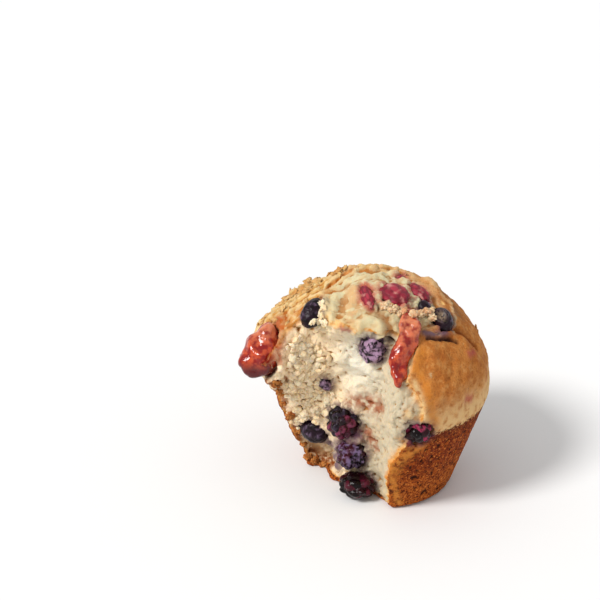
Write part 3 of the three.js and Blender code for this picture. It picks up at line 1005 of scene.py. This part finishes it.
def blend(tree, share, first, second):
    node = tree.nodes.new("ShaderNodeMix")
    node.data_type = "RGBA"
    put(tree, share, node.inputs[0])
    put(tree, first, node.inputs[6])
    put(tree, second, node.inputs[7])
    return node.outputs[2]


def step(tree, value, low, high, to_low=0.0, to_high=1.0):
    node = tree.nodes.new("ShaderNodeMapRange")
    node.interpolation_type = "SMOOTHSTEP"
    put(tree, value, node.inputs["Value"])
    node.inputs["From Min"].default_value = low
    node.inputs["From Max"].default_value = high
    node.inputs["To Min"].default_value = to_low
    node.inputs["To Max"].default_value = to_high
    return node.outputs["Result"]


def combine(tree, how, first, second):
    node = tree.nodes.new("ShaderNodeMath")
    node.operation = how
    put(tree, first, node.inputs[0])
    put(tree, second, node.inputs[1])
    return node.outputs[0]


def product(tree, first, *others):
    for other in others:
        first = combine(tree, "MULTIPLY", first, other)
    return first


def over(tree, colour, source, low, high, shade, most=1.0):
    """Lays a shade over a colour where the source goes from low to high."""
    return blend(tree, step(tree, source, low, high, 0.0, most), colour, srgb(*shade))


def height_of(tree, place):
    split = tree.nodes.new("ShaderNodeSeparateXYZ")
    tree.links.new(place, split.inputs[0])
    return split.outputs["Z"]


def bump(tree, shader, height, distance, strength):
    node = tree.nodes.new("ShaderNodeBump")
    node.inputs["Strength"].default_value = strength
    node.inputs["Distance"].default_value = distance * MM
    tree.links.new(height, node.inputs["Height"])
    tree.links.new(node.outputs["Normal"], shader.inputs["Normal"])


def surface(tree, shader, colour, roughness, specular):
    tree.links.new(colour, shader.inputs["Base Color"])
    shader.inputs["Roughness"].default_value = roughness
    shader.inputs["Specular IOR Level"].default_value = specular


def soften(shader, weight, radius, scale):
    """Light that passes a little way through."""
    shader.inputs["Subsurface Weight"].default_value = weight
    shader.inputs["Subsurface Radius"].default_value = radius
    shader.inputs["Subsurface Scale"].default_value = scale * MM


def dome_colour(tree, high, grain, relief_shading):
    """Baked crust: brown where it is smooth, golden where rugged, pale plates on the top, with
    painted shade in its pits and gaps and painted highlights on its rugged ridges.
    """
    coarse, middle, fine = grain
    halves = step(tree, coarse, 0.35, 0.65)
    plain = blend(tree, halves, srgb(176, 106, 46), srgb(188, 122, 60))
    plain = over(tree, plain, fine, 0.48, 0.72, (146, 80, 30), 0.8)
    plain = over(tree, plain, middle, 0.5, 0.7, (206, 150, 88), 0.5)
    plain = over(tree, plain, middle, 0.45, 0.25, (150, 82, 34), 0.6)
    # Painted shade in the pits
    plain = over(tree, plain, relief_shading, 0.03, 0.22, (140, 76, 28), 0.6)
    low_rim = product(tree, step(tree, high, 49.0, 36.0), step(tree, middle, 0.2, 0.6))
    plain = blend(tree, low_rim, plain, srgb(216, 177, 123))
    rugged = blend(tree, halves, srgb(194, 140, 68), srgb(203, 164, 103))
    rugged = over(tree, rugged, middle, 0.45, 0.7, (204, 178, 132))
    # Painted shade in the pits
    rugged = over(tree, rugged, relief_shading, 0.05, 0.3, (170, 104, 42))
    # Painted highlight on the ridges that stand proud
    rugged = over(tree, rugged, relief_shading, -0.05, -0.3, (216, 186, 134))
    plates = blend(tree, step(tree, middle, 0.4, 0.6), srgb(206, 195, 156), srgb(192, 164, 122))
    # Painted shade in the gaps between the plates
    plates = over(tree, plates, relief_shading, 0.06, 0.3, (170, 118, 66))
    dome = blend(tree, attribute(tree, "rugged"), plain, rugged)
    return blend(tree, attribute(tree, "broken"), dome, plates)


def cup_colour(tree, high, grain, relief_shading):
    """The cup's side, baked dark against the tin, with light and dark specks and painted shade in
    its holes.
    """
    _, middle, fine = grain
    cup = blend(tree, step(tree, middle, 0.35, 0.65), srgb(122, 44, 8), srgb(156, 70, 18))
    cup = over(tree, cup, high, 22.0, 4.0, (184, 98, 32), 0.6)
    cup = over(tree, cup, fine, 0.5, 0.6, (76, 26, 5))
    cup = over(tree, cup, fine, 0.44, 0.32, (208, 130, 62))
    # Painted shade in the holes
    cup = over(tree, cup, relief_shading, 0.04, 0.2, (52, 18, 4))
    return over(tree, cup, high, 26.0, 33.0, (80, 28, 6), 0.5)


def crumb_colour(tree, grain, relief_shading):
    """Torn crumb: painted lighter to the left and darker to the right to even out how the light
    falls across it, palest in the stretched band, and with painted shade in its pits and wide dips.
    """
    coarse, _, fine = grain
    # Painted light: lighter to the left, darker to the right, to even out how the light falls
    # across the tear
    crumb = blend(tree, attribute(tree, "left_painted_lighter"), srgb(194, 181, 154), srgb(244, 220, 182))
    crumb = over(tree, crumb, coarse, 0.45, 0.7, (212, 186, 148), 0.5)
    crumb = blend(tree, attribute(tree, "band"), crumb, srgb(232, 226, 206))
    crumb = over(tree, crumb, fine, 0.5, 0.8, (190, 156, 114), 0.6)
    # Painted shade in the pits and in the wide dips
    crumb = over(tree, crumb, relief_shading, 0.1, 0.5, (170, 120, 68))
    return over(tree, crumb, attribute(tree, "dip_shading"), 0.5, 1.8, (172, 122, 72))


def stained_and_shaded(tree, colour, middle):
    # Lays the body's stains and its painted shade over its colour, all but the even ones in patches
    patchy = step(tree, middle, 0.3, 0.55)
    for name, shade, most in STAINS_AND_SHADE:
        share = product(tree, attribute(tree, name), most)
        if name not in EVEN_STAINS_AND_SHADE:
            share = product(tree, share, patchy)
        colour = blend(tree, share, colour, srgb(*shade))
    return colour


def body_finish():
    """Crust, a golden edge where it is torn, and crumb under it, all with their stains and painted
    shade.
    """
    material, tree, shader = recipe("baked_crumb_and_crust")
    place = millimetres(tree)
    relief_shading = attribute(tree, "relief_shading")
    high = height_of(tree, place)
    coarse = speckle(tree, place, 6.0)
    middle = speckle(tree, place, 2.2)
    fine = speckle(tree, place, 0.7, 4.0, 0.6)
    grain = (coarse, middle, fine)

    ragged_edge = step(tree, fine, 0.35, 0.65, -0.3, 0.3)
    on_cup = step(tree, combine(tree, "ADD", attribute(tree, "cup"), ragged_edge), 0.3, 0.7)
    dome = dome_colour(tree, high, grain, relief_shading)
    crust = blend(tree, on_cup, dome, cup_colour(tree, high, grain, relief_shading))
    golden = blend(tree, step(tree, middle, 0.4, 0.6), srgb(206, 136, 58), srgb(222, 180, 116))
    below = combine(tree, "ADD", attribute(tree, "below"), product(tree, middle, 1.1))
    colour = blend(tree, step(tree, below, 0.8, 1.3), crust, golden)
    colour = blend(tree, step(tree, below, 1.3, 2.9), colour, crumb_colour(tree, grain, relief_shading))
    surface(tree, shader, stained_and_shaded(tree, colour, middle), roughness=0.75, specular=0.1)
    soften(shader, weight=0.2, radius=(1.0, 0.6, 0.3), scale=1.0)
    bump(tree, shader, fine, distance=0.5, strength=0.8)
    return material


def bramble_finish():
    """Dark beads, some of them with a rosy side, some dusted with lilac that stands for bloom and
    for a painted sheen.
    """
    material, tree, shader = recipe("bramble_beads")
    place = millimetres(tree)
    tint = attribute(tree, "tint")
    patch = speckle(tree, place, 1.6)
    colour = blend(tree, step(tree, tint, 0.2, 0.8), srgb(12, 3, 4), srgb(50, 11, 20))
    ripe = product(tree, step(tree, tint, 0.6, 0.75), step(tree, patch, 0.4, 0.6))
    pink = product(tree, ripe, attribute(tree, "rosy"))
    colour = blend(tree, pink, colour, srgb(150, 44, 76))
    # Lilac dusting, which stands for bloom and for a painted sheen
    lilac_dust_and_sheen = product(tree, step(tree, patch, 0.42, 0.66), attribute(tree, "bloom_and_sheen"))
    colour = blend(tree, lilac_dust_and_sheen, colour, srgb(118, 98, 132))
    surface(tree, shader, colour, roughness=0.18, specular=0.18)
    bump(tree, shader, speckle(tree, place, 0.6), distance=0.2, strength=0.7)
    return material


def raspberry_finish():
    """Red beads with painted shade in the creases between them, and pale smears that stand for
    dough and for painted highlights.
    """
    material, tree, shader = recipe("raspberry_beads")
    place = millimetres(tree)
    colour = blend(tree, attribute(tree, "tint"), srgb(128, 22, 42), srgb(164, 50, 66))
    # Painted shade in the creases between the beads
    crease_shade = product(tree, attribute(tree, "crease_shade"), 0.6)
    colour = blend(tree, crease_shade, colour, srgb(92, 14, 30))
    # Pale smears that stand for dough and for painted highlights
    dough = speckle(tree, place, 3.0)
    colour = over(tree, colour, dough, 0.52, 0.74, (206, 140, 128), 0.8)
    surface(tree, shader, colour, roughness=0.45, specular=0.25)
    soften(shader, weight=0.2, radius=(1.0, 0.25, 0.25), scale=1.2)
    bump(tree, shader, speckle(tree, place, 0.5), distance=0.25, strength=0.7)
    return material


def blueberry_finish():
    """Dark skin with lilac bloom that also stands for a painted sheen, lilac where it has burst,
    painted shade in its wrinkles, and a dry crown.
    """
    material, tree, shader = recipe("blueberry_skin")
    place = millimetres(tree)
    # Lilac bloom, which also stands for a painted sheen
    bloom_and_sheen = step(tree, speckle(tree, place, 2.0), 0.48, 0.78)
    colour = blend(tree, bloom_and_sheen, srgb(14, 5, 8), srgb(108, 86, 110))
    torn_skin = step(tree, speckle(tree, place, 1.5), 0.42, 0.58)
    burst = product(tree, attribute(tree, "mush"), torn_skin)
    colour = blend(tree, burst, colour, srgb(158, 126, 152))
    # Painted shade in the wrinkles
    colour = blend(tree, attribute(tree, "crease_shade"), colour, srgb(30, 12, 24))
    grain = step(tree, speckle(tree, place, 0.7), 0.3, 0.6)
    crown = product(tree, attribute(tree, "crown"), grain)
    colour = blend(tree, crown, colour, srgb(160, 136, 110))
    surface(tree, shader, colour, roughness=0.3, specular=0.15)
    bump(tree, shader, speckle(tree, place, 0.8, 4.0), distance=0.3, strength=0.7)
    return material


def jam_finish():
    """Clear red jam with paler pulp, darkest where it is lowest."""
    material, tree, shader = recipe("red_jam")
    place = millimetres(tree)
    pulp = speckle(tree, place, 2.4)
    risen = attribute(tree, "risen")
    colour = blend(tree, step(tree, pulp, 0.4, 0.62), srgb(132, 12, 4), srgb(188, 74, 36))
    colour = over(tree, colour, risen, 0.46, 0.16, (84, 0, 2))
    paler = product(tree, step(tree, risen, 0.6, 1.0), step(tree, pulp, 0.3, 0.6))
    colour = blend(tree, paler, colour, srgb(200, 122, 86))
    surface(tree, shader, colour, roughness=0.1, specular=0.25)
    soften(shader, weight=0.35, radius=(1.0, 0.2, 0.08), scale=2.0)
    shader.inputs["Coat Weight"].default_value = 0.4
    shader.inputs["Coat Roughness"].default_value = 0.04
    bump(tree, shader, speckle(tree, place, 1.6), distance=0.5, strength=0.6)
    return material


def lump_finish(name, dark, light, spot=(164, 112, 66)):
    """Small dry lumps: each has its own tint, from dark to light, and spots of a third colour."""
    material, tree, shader = recipe(name)
    place = millimetres(tree)
    colour = blend(tree, attribute(tree, "tint"), srgb(*dark), srgb(*light))
    grain = speckle(tree, place, 0.8, 4.0, 0.6)
    colour = over(tree, colour, grain, 0.5, 0.75, spot)
    surface(tree, shader, colour, roughness=0.7, specular=0.15)
    soften(shader, weight=0.3, radius=(1.0, 0.6, 0.3), scale=1.2)
    bump(tree, shader, grain, distance=0.3, strength=0.8)
    return material


# Floor, light and camera

FLOOR_HALF = 6.0
SUN_WAY = (0.62, 0.42, -0.72)
SUN_POWER = 2.75
SUN_WIDTH = math.radians(16.0)
SKY_POWER = 0.68


def make_stage():
    sculpt = bmesh.new()
    bmesh.ops.create_grid(sculpt, x_segments=1, y_segments=1, size=FLOOR_HALF)
    floor = object_from(sculpt, "floor", rounded=False)
    material, _, shader = recipe("pale_floor")
    shader.inputs["Base Color"].default_value = srgb(232, 232, 232)
    shader.inputs["Roughness"].default_value = 0.8
    floor.data.materials.append(material)


def make_lights():
    light = bpy.data.lights.new("window", "SUN")
    light.energy = SUN_POWER
    light.angle = SUN_WIDTH
    light.color = (1.0, 0.985, 0.965)
    lamp = new_object("window", light)
    lamp.rotation_euler = Vector(SUN_WAY).to_track_quat("-Z", "Y").to_euler()
    world = bpy.data.worlds.new("studio")
    world.use_nodes = True
    sky = world.node_tree.nodes["Background"]
    sky.inputs["Color"].default_value = (1.0, 1.0, 1.0, 1.0)
    sky.inputs["Strength"].default_value = SKY_POWER
    bpy.context.scene.world = world
    bpy.context.scene.view_settings.view_transform = "Standard"


def make_camera():
    data = bpy.data.cameras.new("camera")
    data.lens = CAMERA_LENS
    data.sensor_width = CAMERA_SENSOR
    camera = new_object("camera", data)
    camera.location = camera_place() * MM
    camera.rotation_euler = (math.pi / 2 - CAMERA_PITCH, 0.0, 0.0)
    bpy.context.scene.camera = camera


make_camera()
make_stage()
make_lights()

FINISH = {
    "blueberry": blueberry_finish(),
    "raspberry": raspberry_finish(),
    "bramble": bramble_finish(),
    "jam": jam_finish(),
    "crumble": lump_finish("crumble_lumps", (204, 148, 108), (232, 206, 166)),
    "oats": lump_finish("oat_flakes", (188, 132, 68), (214, 180, 124)),
    "grains": lump_finish("crumb_grains", (236, 206, 164), (244, 224, 192), (208, 170, 126)),
    "crust_bits": lump_finish("crust_bits", (142, 74, 28), (196, 126, 64)),
}
body = make_body(body_finish())
toppings = make_fruit(FINISH) + make_jam(FINISH)
body_tree = tree_of(body.data)
trees = [body_tree] + [tree_of(piece.data) for piece in toppings]
make_crumble(FINISH, trees)
make_grains(FINISH, body_tree, trees)
make_oats(FINISH, body_tree)
